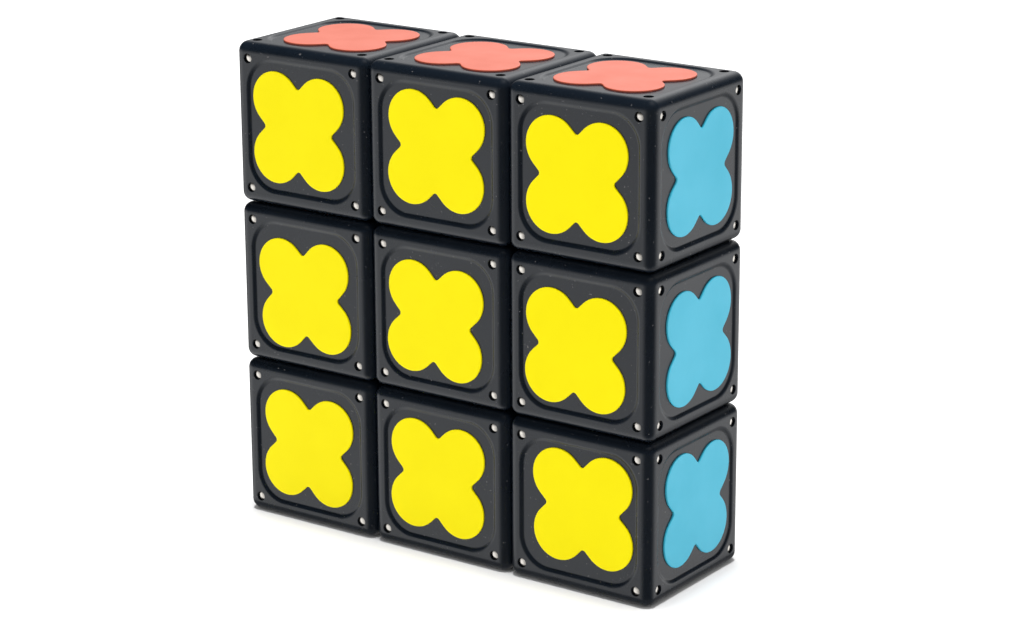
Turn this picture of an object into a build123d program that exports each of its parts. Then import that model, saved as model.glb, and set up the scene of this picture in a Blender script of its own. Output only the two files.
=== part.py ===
from build123d import *
import os

# A tic tac toe set of nine magnetic cubes standing as a 3 by 3 wall, in millimetres.
# The origin is at the middle of the wall's underside: +X right, +Y back, +Z up.
# Every cube is a five-sided case closed by a back cover. A loose ball magnet lies in a round
# socket at each of its eight corners, kept there by a cage, and shows through a small window
# in each of the three faces that meet there.
# A cube's own frame has its origin at the cube's middle, with its front facing -Y.

# Cube and wall of cubes
EDGE = 28.0
GAP = 0.2
EDGE_ROUND = 1.75
PITCH = EDGE + GAP

# Shell
WALL = 2.0
COVER = 1.6
CAVITY = EDGE - 2 * WALL

# Sunken square panel in each face
PANEL = 23.28
PANEL_CORNER = 5.6
PANEL_DEPTH = 0.35
PANEL_DRAFT = 60.0
PANEL_RIM_ROUND = 0.7
PANEL_FLOOR_ROUND = 0.5

# Ball magnets in the corners, and the round windows in front of them
BALL = 2.5
BALL_INSET = 2.74
SOCKET = BALL + 0.05
WINDOW = 0.85

# Tongues that locate the cover in the case
TONGUE_LENGTH = 13.0
TONGUE_THICKNESS = 1.2
TONGUE_DEPTH = 2.4
TONGUE_CLEARANCE = 0.1

# Cage: a square post along each long corner of the cavity, joined by crossed ribs
POST = 4.0
POST_CLEARANCE = 0.1
RIB = 1.6
RIB_DEPTH = 12.0

# Labels: crosses of two crossed round-ended bars on three faces, rings on the other three
LABEL = 0.3
LABEL_ROUND = 0.12
LOBE = 4.87
LOBE_REACH = 4.83
NOTCH_ROUND = 0.6
RING_OUTER = 9.6
RING_INNER = 4.3

HALF = EDGE / 2
BALL_REACH = HALF - BALL_INSET
POST_REACH = CAVITY / 2 - POST_CLEARANCE - POST / 2
SEAM = HALF - COVER
PANEL_HALF = PANEL / 2
TOUCH = 0.001

# A face's plane looks outward with its own x to the right of someone who looks at the face.
FRONT = Plane(origin=(0, -HALF, 0), x_dir=(1, 0, 0), z_dir=(0, -1, 0))
RIGHT = Plane(origin=(HALF, 0, 0), x_dir=(0, 1, 0), z_dir=(1, 0, 0))
TOP = Plane(origin=(0, 0, HALF), x_dir=(1, 0, 0), z_dir=(0, 0, 1))
BACK = Plane(origin=(0, HALF, 0), x_dir=(-1, 0, 0), z_dir=(0, 1, 0))
LEFT = Plane(origin=(-HALF, 0, 0), x_dir=(0, -1, 0), z_dir=(-1, 0, 0))
BOTTOM = Plane(origin=(0, 0, -HALF), x_dir=(1, 0, 0), z_dir=(0, 0, -1))
SEAM_PLANE = Plane.XZ.offset(-SEAM)

CROSS_FACES = {"front": FRONT, "right": RIGHT, "top": TOP}
RING_FACES = {"back": BACK, "left": LEFT, "bottom": BOTTOM}

# The labels are put on by hand. Each entry is a shift across, a shift up and a turn in degrees,
# anticlockwise, all seen looking at the face. A face with no entry has its label dead centre.
SLIPS = {
    "a3": {"front": (-0.7, -0.1, -0.7), "top": (0.2, 0.1, 1.5)},
    "b3": {"front": (0.0, 0.4, -1.5), "top": (0.1, -0.1, -1.0)},
    "c3": {"front": (-0.5, -0.3, -0.1), "top": (-0.4, 0.0, -0.2), "right": (0.3, 0.0, -1.0)},
    "a2": {"front": (-0.2, -0.8, 2.1)},
    "b2": {"front": (-0.6, -0.5, -2.5)},
    "c2": {"front": (-0.7, -0.6, -1.4), "right": (0.6, -0.2, 1.3)},
    "a1": {"front": (-0.2, -0.2, -1.9)},
    "b1": {"front": (-0.5, 0.0, -1.3)},
    "c1": {"front": (0.8, 0.7, 1.0), "right": (0.5, 0.1, -2.5)},
}
CENTRED = (0.0, 0.0, 0.0)

# Columns a to c run from left to right, rows 1 to 3 from bottom to top.
CUBES = {
    f"{column}{row}": ((x - 1) * PITCH, 0, HALF + (row - 1) * PITCH)
    for x, column in enumerate("abc")
    for row in (1, 2, 3)
}

SIDES = (-BALL_REACH, BALL_REACH)
BALLS = [(x, y, z) for x in SIDES for y in SIDES for z in SIDES]


def panel_edges(part, face, depth):
    """The edges around a face's sunken panel that lie at one depth below the face."""

    def is_panel_edge(edge):
        middle = face.to_local_coords(edge.center())
        inside = max(abs(middle.X), abs(middle.Y)) < PANEL_HALF + TOUCH
        return inside and abs(middle.Z + depth) < TOUCH

    return part.edges().filter_by(is_panel_edge)


def sink_panel(part, face):
    """Cuts the sunken panel into one face of the part that is being built, with its edges eased."""
    with BuildSketch(face) as panel:
        RectangleRounded(PANEL, PANEL, PANEL_CORNER)
    extrude(panel.sketch, amount=-PANEL_DEPTH, taper=PANEL_DRAFT, mode=Mode.SUBTRACT)
    fillet(panel_edges(part, face, PANEL_DEPTH), PANEL_FLOOR_ROUND)
    fillet(panel_edges(part, face, 0), PANEL_RIM_ROUND)


def open_windows(face):
    """Cuts the four round windows of one face through to the ball sockets."""
    with BuildSketch(face) as windows:
        with GridLocations(2 * BALL_REACH, 2 * BALL_REACH, 2, 2):
            Circle(WINDOW)
    extrude(windows.sketch, amount=-BALL_INSET, mode=Mode.SUBTRACT)


# Five-sided case, open at the back
with BuildPart() as case:
    Box(EDGE, EDGE, EDGE)
    fillet(case.edges(), EDGE_ROUND)
    split(bisect_by=SEAM_PLANE, keep=Keep.TOP)
    for face in (FRONT, RIGHT, TOP, LEFT, BOTTOM):
        sink_panel(case, face)
    with BuildSketch(SEAM_PLANE):
        Rectangle(CAVITY, CAVITY)
    extrude(amount=SEAM + CAVITY / 2, mode=Mode.SUBTRACT)
    with Locations(*BALLS):
        Sphere(SOCKET, mode=Mode.SUBTRACT)
    for face in (FRONT, RIGHT, TOP, LEFT, BOTTOM):
        open_windows(face)

# Back cover, with tongues that reach into the case
with BuildPart() as cover:
    Box(EDGE, EDGE, EDGE)
    fillet(cover.edges(), EDGE_ROUND)
    split(bisect_by=SEAM_PLANE, keep=Keep.BOTTOM)
    sink_panel(cover, BACK)
    with BuildSketch(SEAM_PLANE):
        with PolarLocations(CAVITY / 2 - TONGUE_CLEARANCE - TONGUE_THICKNESS / 2, 4):
            Rectangle(TONGUE_THICKNESS, TONGUE_LENGTH)
    extrude(amount=TONGUE_DEPTH)
    with Locations(*BALLS):
        Sphere(SOCKET, mode=Mode.SUBTRACT)
    open_windows(BACK)

# Cage, whose posts are held between the front wall and the cover
with BuildPart() as cage:
    with BuildSketch(SEAM_PLANE):
        with GridLocations(2 * POST_REACH, 2 * POST_REACH, 2, 2):
            Rectangle(POST, POST)
    extrude(amount=SEAM + CAVITY / 2)
    with BuildSketch(Plane.XZ.offset(-RIB_DEPTH / 2)):
        for turn in (45, 135):
            Rectangle(2 * POST_REACH * 2**0.5, RIB, rotation=turn)
    extrude(amount=RIB_DEPTH)
    with Locations(*BALLS):
        Sphere(SOCKET, mode=Mode.SUBTRACT)

# Eight loose ball magnets
with BuildPart() as balls:
    with Locations(*BALLS):
        Sphere(BALL)


def label_plane(face, slip):
    """The plane on a panel's floor where one label lies, shifted and turned by its slip."""
    across, up, turn = slip
    floor = face.offset(-PANEL_DEPTH)
    return Plane(floor.location * Location((across, up, 0), (0, 0, turn)))


def ease_label(part, spot):
    """Rounds the outer edge of the label that lies on one spot."""
    outer_face = part.faces().sort_by(Axis(spot.origin, spot.z_dir))[-1]
    fillet(outer_face.edges(), LABEL_ROUND)


def write_piece(part, cube, kind):
    """Writes one piece of a cube, moved to the cube's place in the wall."""
    piece = part.moved(Location(CUBES[cube]))
    piece.label = f"cube_{cube}_{kind}"
    export_step(piece, f"parts/{piece.label}.step")


os.makedirs("parts", exist_ok=True)
for cube in CUBES:
    slips = SLIPS[cube]

    # Crosses on the front, the right and the top
    with BuildPart() as cross_labels:
        for name, face in CROSS_FACES.items():
            spot = label_plane(face, slips.get(name, CENTRED))
            with BuildSketch(spot) as cross:
                for turn in (45, 135):
                    SlotCenterToCenter(2 * LOBE_REACH * 2**0.5, 2 * LOBE, rotation=turn)
                fillet(cross.vertices().sort_by_distance((0, 0, 0))[:4], NOTCH_ROUND)
            extrude(amount=LABEL)
            ease_label(cross_labels, spot)

    # Rings on the back, the left and the bottom
    with BuildPart() as ring_labels:
        for name, face in RING_FACES.items():
            spot = label_plane(face, slips.get(name, CENTRED))
            with BuildSketch(spot):
                Circle(RING_OUTER)
                Circle(RING_INNER, mode=Mode.SUBTRACT)
            extrude(amount=LABEL)
            ease_label(ring_labels, spot)

    write_piece(case.part, cube, "case")
    write_piece(cover.part, cube, "cover")
    write_piece(cage.part, cube, "cage")
    write_piece(balls.part, cube, "balls")
    write_piece(cross_labels.part, cube, "cross_labels")
    write_piece(ring_labels.part, cube, "ring_labels")
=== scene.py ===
import math

import bmesh
import bpy
from mathutils import Matrix, Vector


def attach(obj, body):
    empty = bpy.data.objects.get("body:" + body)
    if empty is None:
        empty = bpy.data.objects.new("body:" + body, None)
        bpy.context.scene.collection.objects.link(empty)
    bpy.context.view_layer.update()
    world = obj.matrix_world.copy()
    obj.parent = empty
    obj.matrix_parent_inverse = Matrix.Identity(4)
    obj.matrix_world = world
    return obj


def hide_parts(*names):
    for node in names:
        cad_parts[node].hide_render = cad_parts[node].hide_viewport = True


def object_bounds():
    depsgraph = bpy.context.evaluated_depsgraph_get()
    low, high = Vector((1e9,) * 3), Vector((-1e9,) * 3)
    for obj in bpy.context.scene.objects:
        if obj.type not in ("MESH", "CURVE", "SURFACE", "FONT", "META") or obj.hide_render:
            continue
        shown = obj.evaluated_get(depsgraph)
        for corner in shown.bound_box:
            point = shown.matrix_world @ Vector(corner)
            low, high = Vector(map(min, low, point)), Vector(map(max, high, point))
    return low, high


# Looks of the tic tac toe set: nine black magnetic cubes standing as a 3 by 3 wall.
# Everything is in metres in the frame of the CAD model, whose cubes and ball magnets are kept.

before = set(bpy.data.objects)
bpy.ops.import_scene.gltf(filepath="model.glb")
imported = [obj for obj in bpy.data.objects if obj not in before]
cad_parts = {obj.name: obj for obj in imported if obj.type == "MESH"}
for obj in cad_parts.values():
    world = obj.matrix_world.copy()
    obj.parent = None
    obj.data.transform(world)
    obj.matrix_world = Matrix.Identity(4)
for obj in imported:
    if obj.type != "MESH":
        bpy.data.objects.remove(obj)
cad_low, cad_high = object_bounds()

MM = 0.001

# The cubes, as in the CAD model
COLUMNS = "abc"
ROWS = "123"
EDGE = 28.0 * MM
PITCH = 28.2 * MM
PANEL_DEPTH = 0.35 * MM

# Labels
LABEL = 0.3 * MM
LABEL_ROUND = 0.12 * MM
LOBE = 4.87 * MM
LOBE_REACH = 4.83 * MM
NOTCH_ROUND = 0.6 * MM
RING_OUTER = 9.6 * MM
RING_INNER = 4.3 * MM
# Insets of the rows across a cross's flat top, and steps around each curve
FLAT_INSETS = (0.5 * MM, 1.5 * MM, 3.0 * MM)
LOBE_STEPS = 24
NOTCH_STEPS = 6
RING_STEPS = 96
ROUND_STEPS = 5
SHARP_ANGLE = math.radians(40)

# Each face's own right and up, seen looking at it
FACES = {
    "front": (Vector((1, 0, 0)), Vector((0, 0, 1))),
    "right": (Vector((0, 1, 0)), Vector((0, 0, 1))),
    "top": (Vector((1, 0, 0)), Vector((0, 1, 0))),
    "back": (Vector((-1, 0, 0)), Vector((0, 0, 1))),
    "left": (Vector((0, -1, 0)), Vector((0, 0, 1))),
    "bottom": (Vector((1, 0, 0)), Vector((0, -1, 0))),
}
LABEL_COLOURS = {
    "front": "yellow",
    "right": "blue",
    "top": "orange",
    "back": "white",
    "left": "green",
    "bottom": "red",
}
CROSS_FACES = ("front", "right", "top")

# Shift across, shift up and turn in degrees of each label that isn't dead centre, as in the CAD model
SLIPS = {
    "a3": {"front": (-0.7, -0.1, -0.7), "top": (0.2, 0.1, 1.5)},
    "b3": {"front": (0.0, 0.4, -1.5), "top": (0.1, -0.1, -1.0)},
    "c3": {"front": (-0.5, -0.3, -0.1), "top": (-0.4, 0.0, -0.2), "right": (0.3, 0.0, -1.0)},
    "a2": {"front": (-0.2, -0.8, 2.1)},
    "b2": {"front": (-0.6, -0.5, -2.5)},
    "c2": {"front": (-0.7, -0.6, -1.4), "right": (0.6, -0.2, 1.3)},
    "a1": {"front": (-0.2, -0.2, -1.9)},
    "b1": {"front": (-0.5, 0.0, -1.3)},
    "c1": {"front": (0.8, 0.7, 1.0), "right": (0.5, 0.1, -2.5)},
}
CENTRED = (0.0, 0.0, 0.0)

# Camera
LENS_MM = 104.3
CAMERA_AZIMUTH = math.radians(35.32)
CAMERA_ELEVATION = math.radians(16.74)
CAMERA_ROLL = math.radians(-0.28)
CAMERA_DISTANCE = 0.5032
CAMERA_AIM = Vector((0.00390, 0.00198, 0.04008))

# Stage
FLOOR_REACH = 3.0
FLOOR_GREY = 0.76
CONTACT_DROP = 0.1 * MM
CONTACT_REACH = 2.5 * MM
CONTACT_LIGHT = 0.2
SKY_LIGHT = 0.6
OVERHEAD_LIGHT = 1.3
OVERHEAD_ANGLE = math.radians(12)
TABLE_LIGHT = 1.35
TABLE_EDGE = (0.12, -0.18)
# Depth, middle, inner and outer angle of each dark patch in what gloss mirrors
DARK_PATCHES = (
    (0.97, (0.70, -0.66, -0.25), 30, 85),
    (0.92, (-0.72, 0.68, -0.12), 22, 58),
    (0.70, (0.15, 0.60, -0.78), 12, 40),
)
# Strength, sharpness and middle of each softbox
SOFTBOXES = (
    (1.75, 11, (-0.30, 0.80, 0.50)),
    (0.8, 16, (0.25, 0.05, 0.97)),
)


# ---- node helpers ----


def new_material(name):
    """A material with an empty node tree, its Principled shader and its node maker."""
    material = bpy.data.materials.new(name)
    material.use_nodes = True
    nodes = material.node_tree.nodes
    return material, nodes, material.node_tree.links, nodes["Principled BSDF"]


def noise(nodes, links, scale, detail, vector):
    """A noise texture of the object's own coordinates, and its output."""
    texture = nodes.new("ShaderNodeTexNoise")
    texture.inputs["Scale"].default_value = scale
    texture.inputs["Detail"].default_value = detail
    links.new(vector, texture.inputs["Vector"])
    return texture.outputs["Fac"]


def ramp(nodes, links, value, stops):
    """A colour ramp of a value. Each stop is a position and a colour or a grey."""
    node = nodes.new("ShaderNodeValToRGB")
    points = node.color_ramp.elements
    while len(points) < len(stops):
        points.new(0.5)
    for point, (position, colour) in zip(points, stops):
        grey = isinstance(colour, float)
        point.position = position
        point.color = (colour, colour, colour, 1) if grey else (*colour, 1)
    links.new(value, node.inputs["Fac"])
    return node.outputs["Color"]


def bump(nodes, links, height, distance, strength, below=None):
    """A bump of a height, laid over another normal if one is given."""
    node = nodes.new("ShaderNodeBump")
    node.inputs["Distance"].default_value = distance
    node.inputs["Strength"].default_value = strength
    links.new(height, node.inputs["Height"])
    if below is not None:
        links.new(below, node.inputs["Normal"])
    return node.outputs["Normal"]


# ---- materials ----


def shell_material():
    """Satin black moulded plastic, with faint smears, a fine moulded grain and a few specks of dust."""
    material, nodes, links, shader = new_material("black_shell")
    place = nodes.new("ShaderNodeTexCoord").outputs["Object"]
    smears = noise(nodes, links, 90, 4, place)
    grain = noise(nodes, links, 4200, 2, place)
    waves = noise(nodes, links, 160, 1, place)
    specks = noise(nodes, links, 2300, 1, place)
    tone = ramp(nodes, links, smears, ((0.3, (0.0045, 0.0080, 0.0135)), (0.75, (0.0070, 0.0110, 0.0175))))
    dusty = nodes.new("ShaderNodeMix")
    dusty.data_type = "RGBA"
    dusty.inputs["B"].default_value = (0.20, 0.19, 0.19, 1)
    links.new(ramp(nodes, links, specks, ((0.735, 0.0), (0.80, 0.6))), dusty.inputs["Factor"])
    links.new(tone, dusty.inputs["A"])
    links.new(dusty.outputs["Result"], shader.inputs["Base Color"])
    links.new(ramp(nodes, links, smears, ((0.3, 0.24), (0.7, 0.31))), shader.inputs["Roughness"])
    broad = bump(nodes, links, waves, 0.00004, 0.35)
    links.new(bump(nodes, links, grain, 0.000008, 0.4, broad), shader.inputs["Normal"])
    return material


def cage_material():
    """Natural unpainted plastic of the cage."""
    material, nodes, links, shader = new_material("cage_plastic")
    place = nodes.new("ShaderNodeTexCoord").outputs["Object"]
    cloud = noise(nodes, links, 120, 3, place)
    links.new(ramp(nodes, links, cloud, ((0.3, (0.70, 0.69, 0.64)), (0.7, (0.78, 0.77, 0.73)))),
              shader.inputs["Base Color"])
    links.new(ramp(nodes, links, cloud, ((0.3, 0.45), (0.7, 0.6))), shader.inputs["Roughness"])
    links.new(bump(nodes, links, cloud, 0.00005, 0.3), shader.inputs["Normal"])
    return material


def magnet_material():
    """Bright nickel plate with fine scuffs."""
    material, nodes, links, shader = new_material("magnet_nickel")
    place = nodes.new("ShaderNodeTexCoord").outputs["Object"]
    scuffs = noise(nodes, links, 1400, 4, place)
    shader.inputs["Metallic"].default_value = 1.0
    links.new(ramp(nodes, links, scuffs, ((0.35, (0.70, 0.67, 0.62)), (0.7, (0.60, 0.57, 0.53)))),
              shader.inputs["Base Color"])
    links.new(ramp(nodes, links, scuffs, ((0.35, 0.12), (0.7, 0.28))), shader.inputs["Roughness"])
    links.new(bump(nodes, links, scuffs, 0.00001, 0.3), shader.inputs["Normal"])
    return material


LABEL_SHADES = {
    "yellow": ((0.97, 0.835, 0.0010), (0.99, 0.86, 0.0020)),
    "blue": ((0.046, 0.495, 0.685), (0.056, 0.525, 0.725)),
    "orange": ((0.54, 0.110, 0.062), (0.59, 0.125, 0.072)),
    "white": ((0.78, 0.78, 0.76), (0.84, 0.84, 0.82)),
    "green": ((0.015, 0.36, 0.08), (0.025, 0.41, 0.11)),
    "red": ((0.55, 0.010, 0.014), (0.62, 0.016, 0.022)),
}

# Tint of the straight-on reflection, where it isn't white
LABEL_TINTS = {"yellow": (1.0, 0.85, 0.03)}
# Specular level, where it isn't the usual one
LABEL_GLOSS = {"orange": 0.85}
USUAL_GLOSS = 0.5


def label_material(colour):
    """Soft satin vinyl of one colour, a little uneven."""
    material, nodes, links, shader = new_material(f"label_{colour}")
    place = nodes.new("ShaderNodeTexCoord").outputs["Object"]
    patches = noise(nodes, links, 130, 3, place)
    grain = noise(nodes, links, 3000, 3, place)
    dull, bright = LABEL_SHADES[colour]
    links.new(ramp(nodes, links, patches, ((0.3, dull), (0.7, bright))), shader.inputs["Base Color"])
    links.new(ramp(nodes, links, patches, ((0.3, 0.44), (0.7, 0.36))), shader.inputs["Roughness"])
    if colour in LABEL_TINTS:
        shader.inputs["Specular Tint"].default_value = (*LABEL_TINTS[colour], 1)
    shader.inputs["Specular IOR Level"].default_value = LABEL_GLOSS.get(colour, USUAL_GLOSS)
    broad = bump(nodes, links, patches, 0.00005, 0.3)
    links.new(bump(nodes, links, grain, 0.000012, 0.4, broad), shader.inputs["Normal"])
    return material


# ---- labels ----


def cross_outline(inset):
    """The cross's outline, moved inwards by an inset: four lobes with a rounded notch between them."""
    points = []
    notch_reach = (LOBE + NOTCH_ROUND) * 2 ** 0.5
    for quarter in range(4):
        lean = math.radians(45 + 90 * quarter)
        middle = Vector((math.cos(lean), math.sin(lean))) * LOBE_REACH * 2 ** 0.5
        for step in range(LOBE_STEPS + 1):
            angle = lean + math.pi * (step / LOBE_STEPS - 0.5)
            points.append(middle + Vector((math.cos(angle), math.sin(angle))) * (LOBE - inset))
        facing = math.radians(90 + 90 * quarter)
        notch = Vector((math.cos(facing), math.sin(facing))) * notch_reach
        for step in range(NOTCH_STEPS + 1):
            angle = facing + math.pi + math.pi / 2 * (0.5 - step / NOTCH_STEPS)
            points.append(notch + Vector((math.cos(angle), math.sin(angle))) * (NOTCH_ROUND + inset))
    return points


def circle_outline(radius):
    """A circle as evenly spaced points."""
    return [
        Vector((math.cos(angle), math.sin(angle))) * radius
        for angle in (math.tau * step / RING_STEPS for step in range(RING_STEPS))
    ]


def add_loop(mesh, points, height):
    """One closed row of vertices at a height."""
    return [mesh.verts.new((point.x, point.y, height)) for point in points]


def bridge(mesh, low, high):
    """Faces between two closed rows with as many vertices each."""
    for step in range(len(low)):
        follow = (step + 1) % len(low)
        mesh.faces.new((low[step], low[follow], high[follow], high[step]))


def edge_profile():
    """Inset and height of the rows up a label's side and over its rounded edge."""
    rows = [(0.0, 0.0), (0.0, LABEL * 0.4)]
    for step in range(ROUND_STEPS + 1):
        angle = math.pi / 2 * step / ROUND_STEPS
        rows.append((LABEL_ROUND * (1 - math.cos(angle)), LABEL - LABEL_ROUND * (1 - math.sin(angle))))
    return rows


def cross_mesh():
    """The cross label, its underside at height zero."""
    mesh = bmesh.new()
    rows = [add_loop(mesh, cross_outline(inset), height) for inset, height in edge_profile()]
    for inset in FLAT_INSETS:
        rows.append(add_loop(mesh, cross_outline(inset), LABEL))
    for low, high in zip(rows, rows[1:]):
        bridge(mesh, low, high)
    mesh.faces.new(rows[-1])
    mesh.faces.new(reversed(rows[0]))
    return mesh


def ring_mesh():
    """The ring label, its underside at height zero."""
    mesh = bmesh.new()
    outer = [(RING_OUTER - inset, height) for inset, height in edge_profile()]
    inner = [(RING_INNER + inset, height) for inset, height in edge_profile()]
    rows = [add_loop(mesh, circle_outline(radius), height) for radius, height in outer + inner[::-1]]
    for low, high in zip(rows, rows[1:] + rows[:1]):
        bridge(mesh, low, high)
    return mesh


def cube_middle(column, row):
    """The middle of one cube."""
    return Vector(((COLUMNS.index(column) - 1) * PITCH, 0, EDGE / 2 + ROWS.index(row) * PITCH))


def make_label(column, row, face, material):
    """One label on a cube's face, at its own slip, standing for its part of the CAD's label node."""
    cube = column + row
    shape = "cross" if face in CROSS_FACES else "ring"
    across, up = FACES[face]
    out = across.cross(up)
    shift, rise, turn = SLIPS[cube].get(face, CENTRED)
    place = cube_middle(column, row) + out * (EDGE / 2 - PANEL_DEPTH)
    place += (across * shift + up * rise) * MM
    axes = Matrix((across, up, out)).transposed().to_4x4()
    mesh = cross_mesh() if shape == "cross" else ring_mesh()
    mesh.transform(Matrix.Translation(place) @ axes @ Matrix.Rotation(math.radians(turn), 4, "Z"))
    bmesh.ops.recalc_face_normals(mesh, faces=mesh.faces)
    name = f"cube_{cube}_{face}_{shape}"
    data = bpy.data.meshes.new(name)
    mesh.to_mesh(data)
    mesh.free()
    data.shade_smooth()
    data.set_sharp_from_angle(angle=SHARP_ANGLE)
    data.materials.append(material)
    label = bpy.data.objects.new(name, data)
    bpy.context.scene.collection.objects.link(label)
    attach(label, f"cube_{cube}")
    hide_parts(f"cube_{cube}_{shape}_labels")


def make_labels():
    """Every label of every cube."""
    materials = {colour: label_material(colour) for colour in LABEL_SHADES}
    for column in COLUMNS:
        for row in ROWS:
            for face, colour in LABEL_COLOURS.items():
                make_label(column, row, face, materials[colour])


# ---- carried-over CAD nodes ----


def dress_cad_nodes():
    """Gives the cases, covers, cages and balls of the CAD model their materials."""
    shell, cage, magnet = shell_material(), cage_material(), magnet_material()
    finishes = {"case": shell, "cover": shell, "cage": cage, "balls": magnet}
    for name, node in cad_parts.items():
        kind = name.rsplit("_", 1)[-1]
        if kind in finishes:
            node.data.materials.clear()
            node.data.materials.append(finishes[kind])


# ---- stage ----


def make_plane(name, low, high, height, material):
    """A flat rectangle of the stage between two corners at a height."""
    corners = [(low[0], low[1]), (high[0], low[1]), (high[0], high[1]), (low[0], high[1])]
    data = bpy.data.meshes.new(name)
    data.from_pydata([(x, y, height) for x, y in corners], [], [(0, 1, 2, 3)])
    data.materials.append(material)
    plane = bpy.data.objects.new(name, data)
    bpy.context.scene.collection.objects.link(plane)
    return plane


def make_floor():
    """A wide white table. Gloss mirrors the world in its place."""
    material, _, _, shader = new_material("floor")
    shader.inputs["Base Color"].default_value = (FLOOR_GREY, FLOOR_GREY, FLOOR_GREY, 1)
    shader.inputs["Roughness"].default_value = 1.0
    shader.inputs["Specular IOR Level"].default_value = 0.0
    floor = make_plane("floor", (-FLOOR_REACH, -FLOOR_REACH), (FLOOR_REACH, FLOOR_REACH), 0, material)
    floor.visible_glossy = False


def make_contact_shade():
    """The floor's contact shadow as gloss mirrors it: a dim mat that nothing else sees."""
    material, _, _, shader = new_material("contact_shade")
    shader.inputs["Base Color"].default_value = (0, 0, 0, 1)
    shader.inputs["Specular IOR Level"].default_value = 0.0
    shader.inputs["Emission Color"].default_value = (1, 1, 1, 1)
    shader.inputs["Emission Strength"].default_value = CONTACT_LIGHT
    low = (cad_low[0] - CONTACT_REACH, cad_low[1] - CONTACT_REACH)
    high = (cad_high[0] + CONTACT_REACH, cad_high[1] + CONTACT_REACH)
    shade = make_plane("contact_shade", low, high, -CONTACT_DROP, material)
    shade.visible_camera = False
    shade.visible_diffuse = False
    shade.visible_transmission = False
    shade.visible_shadow = False


def calculate(nodes, links, operation, *values):
    """One math node on sockets or plain numbers, and its output."""
    node = nodes.new("ShaderNodeMath")
    node.operation = operation
    for socket, value in zip(node.inputs, values):
        if isinstance(value, (int, float)):
            socket.default_value = value
        else:
            links.new(value, socket)
    return node.outputs["Value"]


def fade(nodes, links, value, start, end):
    """A smooth step of a value, 0 at the start and 1 at the end."""
    node = nodes.new("ShaderNodeMapRange")
    node.interpolation_type = "SMOOTHSTEP"
    node.inputs["From Min"].default_value = start
    node.inputs["From Max"].default_value = end
    links.new(value, node.inputs["Value"])
    return node.outputs["Result"]


def nearness(nodes, links, direction, middle):
    """The cosine of the angle between a direction and the middle of a patch of the surroundings."""
    node = nodes.new("ShaderNodeVectorMath")
    node.operation = "DOT_PRODUCT"
    node.inputs[1].default_value = Vector(middle).normalized()
    links.new(direction, node.inputs[0])
    return node.outputs["Value"]


def soft_patch(nodes, links, direction, middle, inner, outer):
    """A round patch, 1 within the inner angle of its middle and 0 past the outer one."""
    edges = math.cos(math.radians(outer)), math.cos(math.radians(inner))
    return fade(nodes, links, nearness(nodes, links, direction, middle), *edges)


def glow(nodes, links, direction, middle, sharpness):
    """A round glow that fades away from its middle, sooner the sharper it is."""
    near = calculate(nodes, links, "MAXIMUM", nearness(nodes, links, direction, middle), 0.0)
    return calculate(nodes, links, "POWER", near, sharpness)


def make_world():
    """White light all round. Gloss mirrors a studio: a bright table, softboxes and dark patches."""
    world = bpy.data.worlds.new("studio")
    bpy.context.scene.world = world
    world.use_nodes = True
    nodes, links = world.node_tree.nodes, world.node_tree.links
    direction = nodes.new("ShaderNodeTexCoord").outputs["Generated"]
    split = nodes.new("ShaderNodeSeparateXYZ")
    links.new(direction, split.inputs["Vector"])
    rays = nodes.new("ShaderNodeLightPath").outputs

    table = fade(nodes, links, split.outputs["Z"], *TABLE_EDGE)
    studio = calculate(nodes, links, "MULTIPLY", table, TABLE_LIGHT)
    for depth, *place in DARK_PATCHES:
        dark = soft_patch(nodes, links, direction, *place)
        kept = calculate(nodes, links, "MULTIPLY_ADD", dark, -depth, 1.0)
        studio = calculate(nodes, links, "MULTIPLY", studio, kept)
    for strength, sharpness, middle in SOFTBOXES:
        box = glow(nodes, links, direction, middle, sharpness)
        studio = calculate(nodes, links, "MULTIPLY_ADD", box, strength, studio)

    plain = calculate(nodes, links, "MULTIPLY_ADD", rays["Is Camera Ray"], 1.0 - SKY_LIGHT, SKY_LIGHT)
    mixed = nodes.new("ShaderNodeMix")
    mixed.data_type = "FLOAT"
    links.new(rays["Is Glossy Ray"], mixed.inputs["Factor"])
    links.new(plain, mixed.inputs["A"])
    links.new(studio, mixed.inputs["B"])
    links.new(mixed.outputs["Result"], nodes["Background"].inputs["Strength"])
    nodes["Background"].inputs["Color"].default_value = (1, 1, 1, 1)


def make_overhead_light():
    """One wide soft light straight overhead, which gloss doesn't mirror."""
    lamp = bpy.data.lights.new("overhead", "SUN")
    lamp.angle = OVERHEAD_ANGLE
    lamp.energy = OVERHEAD_LIGHT * math.pi
    holder = bpy.data.objects.new("overhead", lamp)
    holder.visible_glossy = False
    bpy.context.scene.collection.objects.link(holder)


def make_camera():
    """The camera, at its measured angle, distance and roll around the point it aims at."""
    back = Vector((
        math.sin(CAMERA_AZIMUTH) * math.cos(CAMERA_ELEVATION),
        -math.cos(CAMERA_AZIMUTH) * math.cos(CAMERA_ELEVATION),
        math.sin(CAMERA_ELEVATION),
    ))
    right = Vector((math.cos(CAMERA_AZIMUTH), math.sin(CAMERA_AZIMUTH), 0))
    axes = Matrix((right, back.cross(right), back)).transposed().to_4x4()
    camera = bpy.data.cameras.new("camera")
    camera.lens = LENS_MM
    camera.clip_start = 0.01
    holder = bpy.data.objects.new("camera", camera)
    turned = axes @ Matrix.Rotation(CAMERA_ROLL, 4, "Z")
    holder.matrix_world = Matrix.Translation(CAMERA_AIM + back * CAMERA_DISTANCE) @ turned
    bpy.context.scene.collection.objects.link(holder)
    bpy.context.scene.camera = holder


make_camera()
make_world()
make_floor()
make_contact_shade()
make_overhead_light()
dress_cad_nodes()
make_labels()
bpy.context.scene.view_settings.view_transform = "Standard"
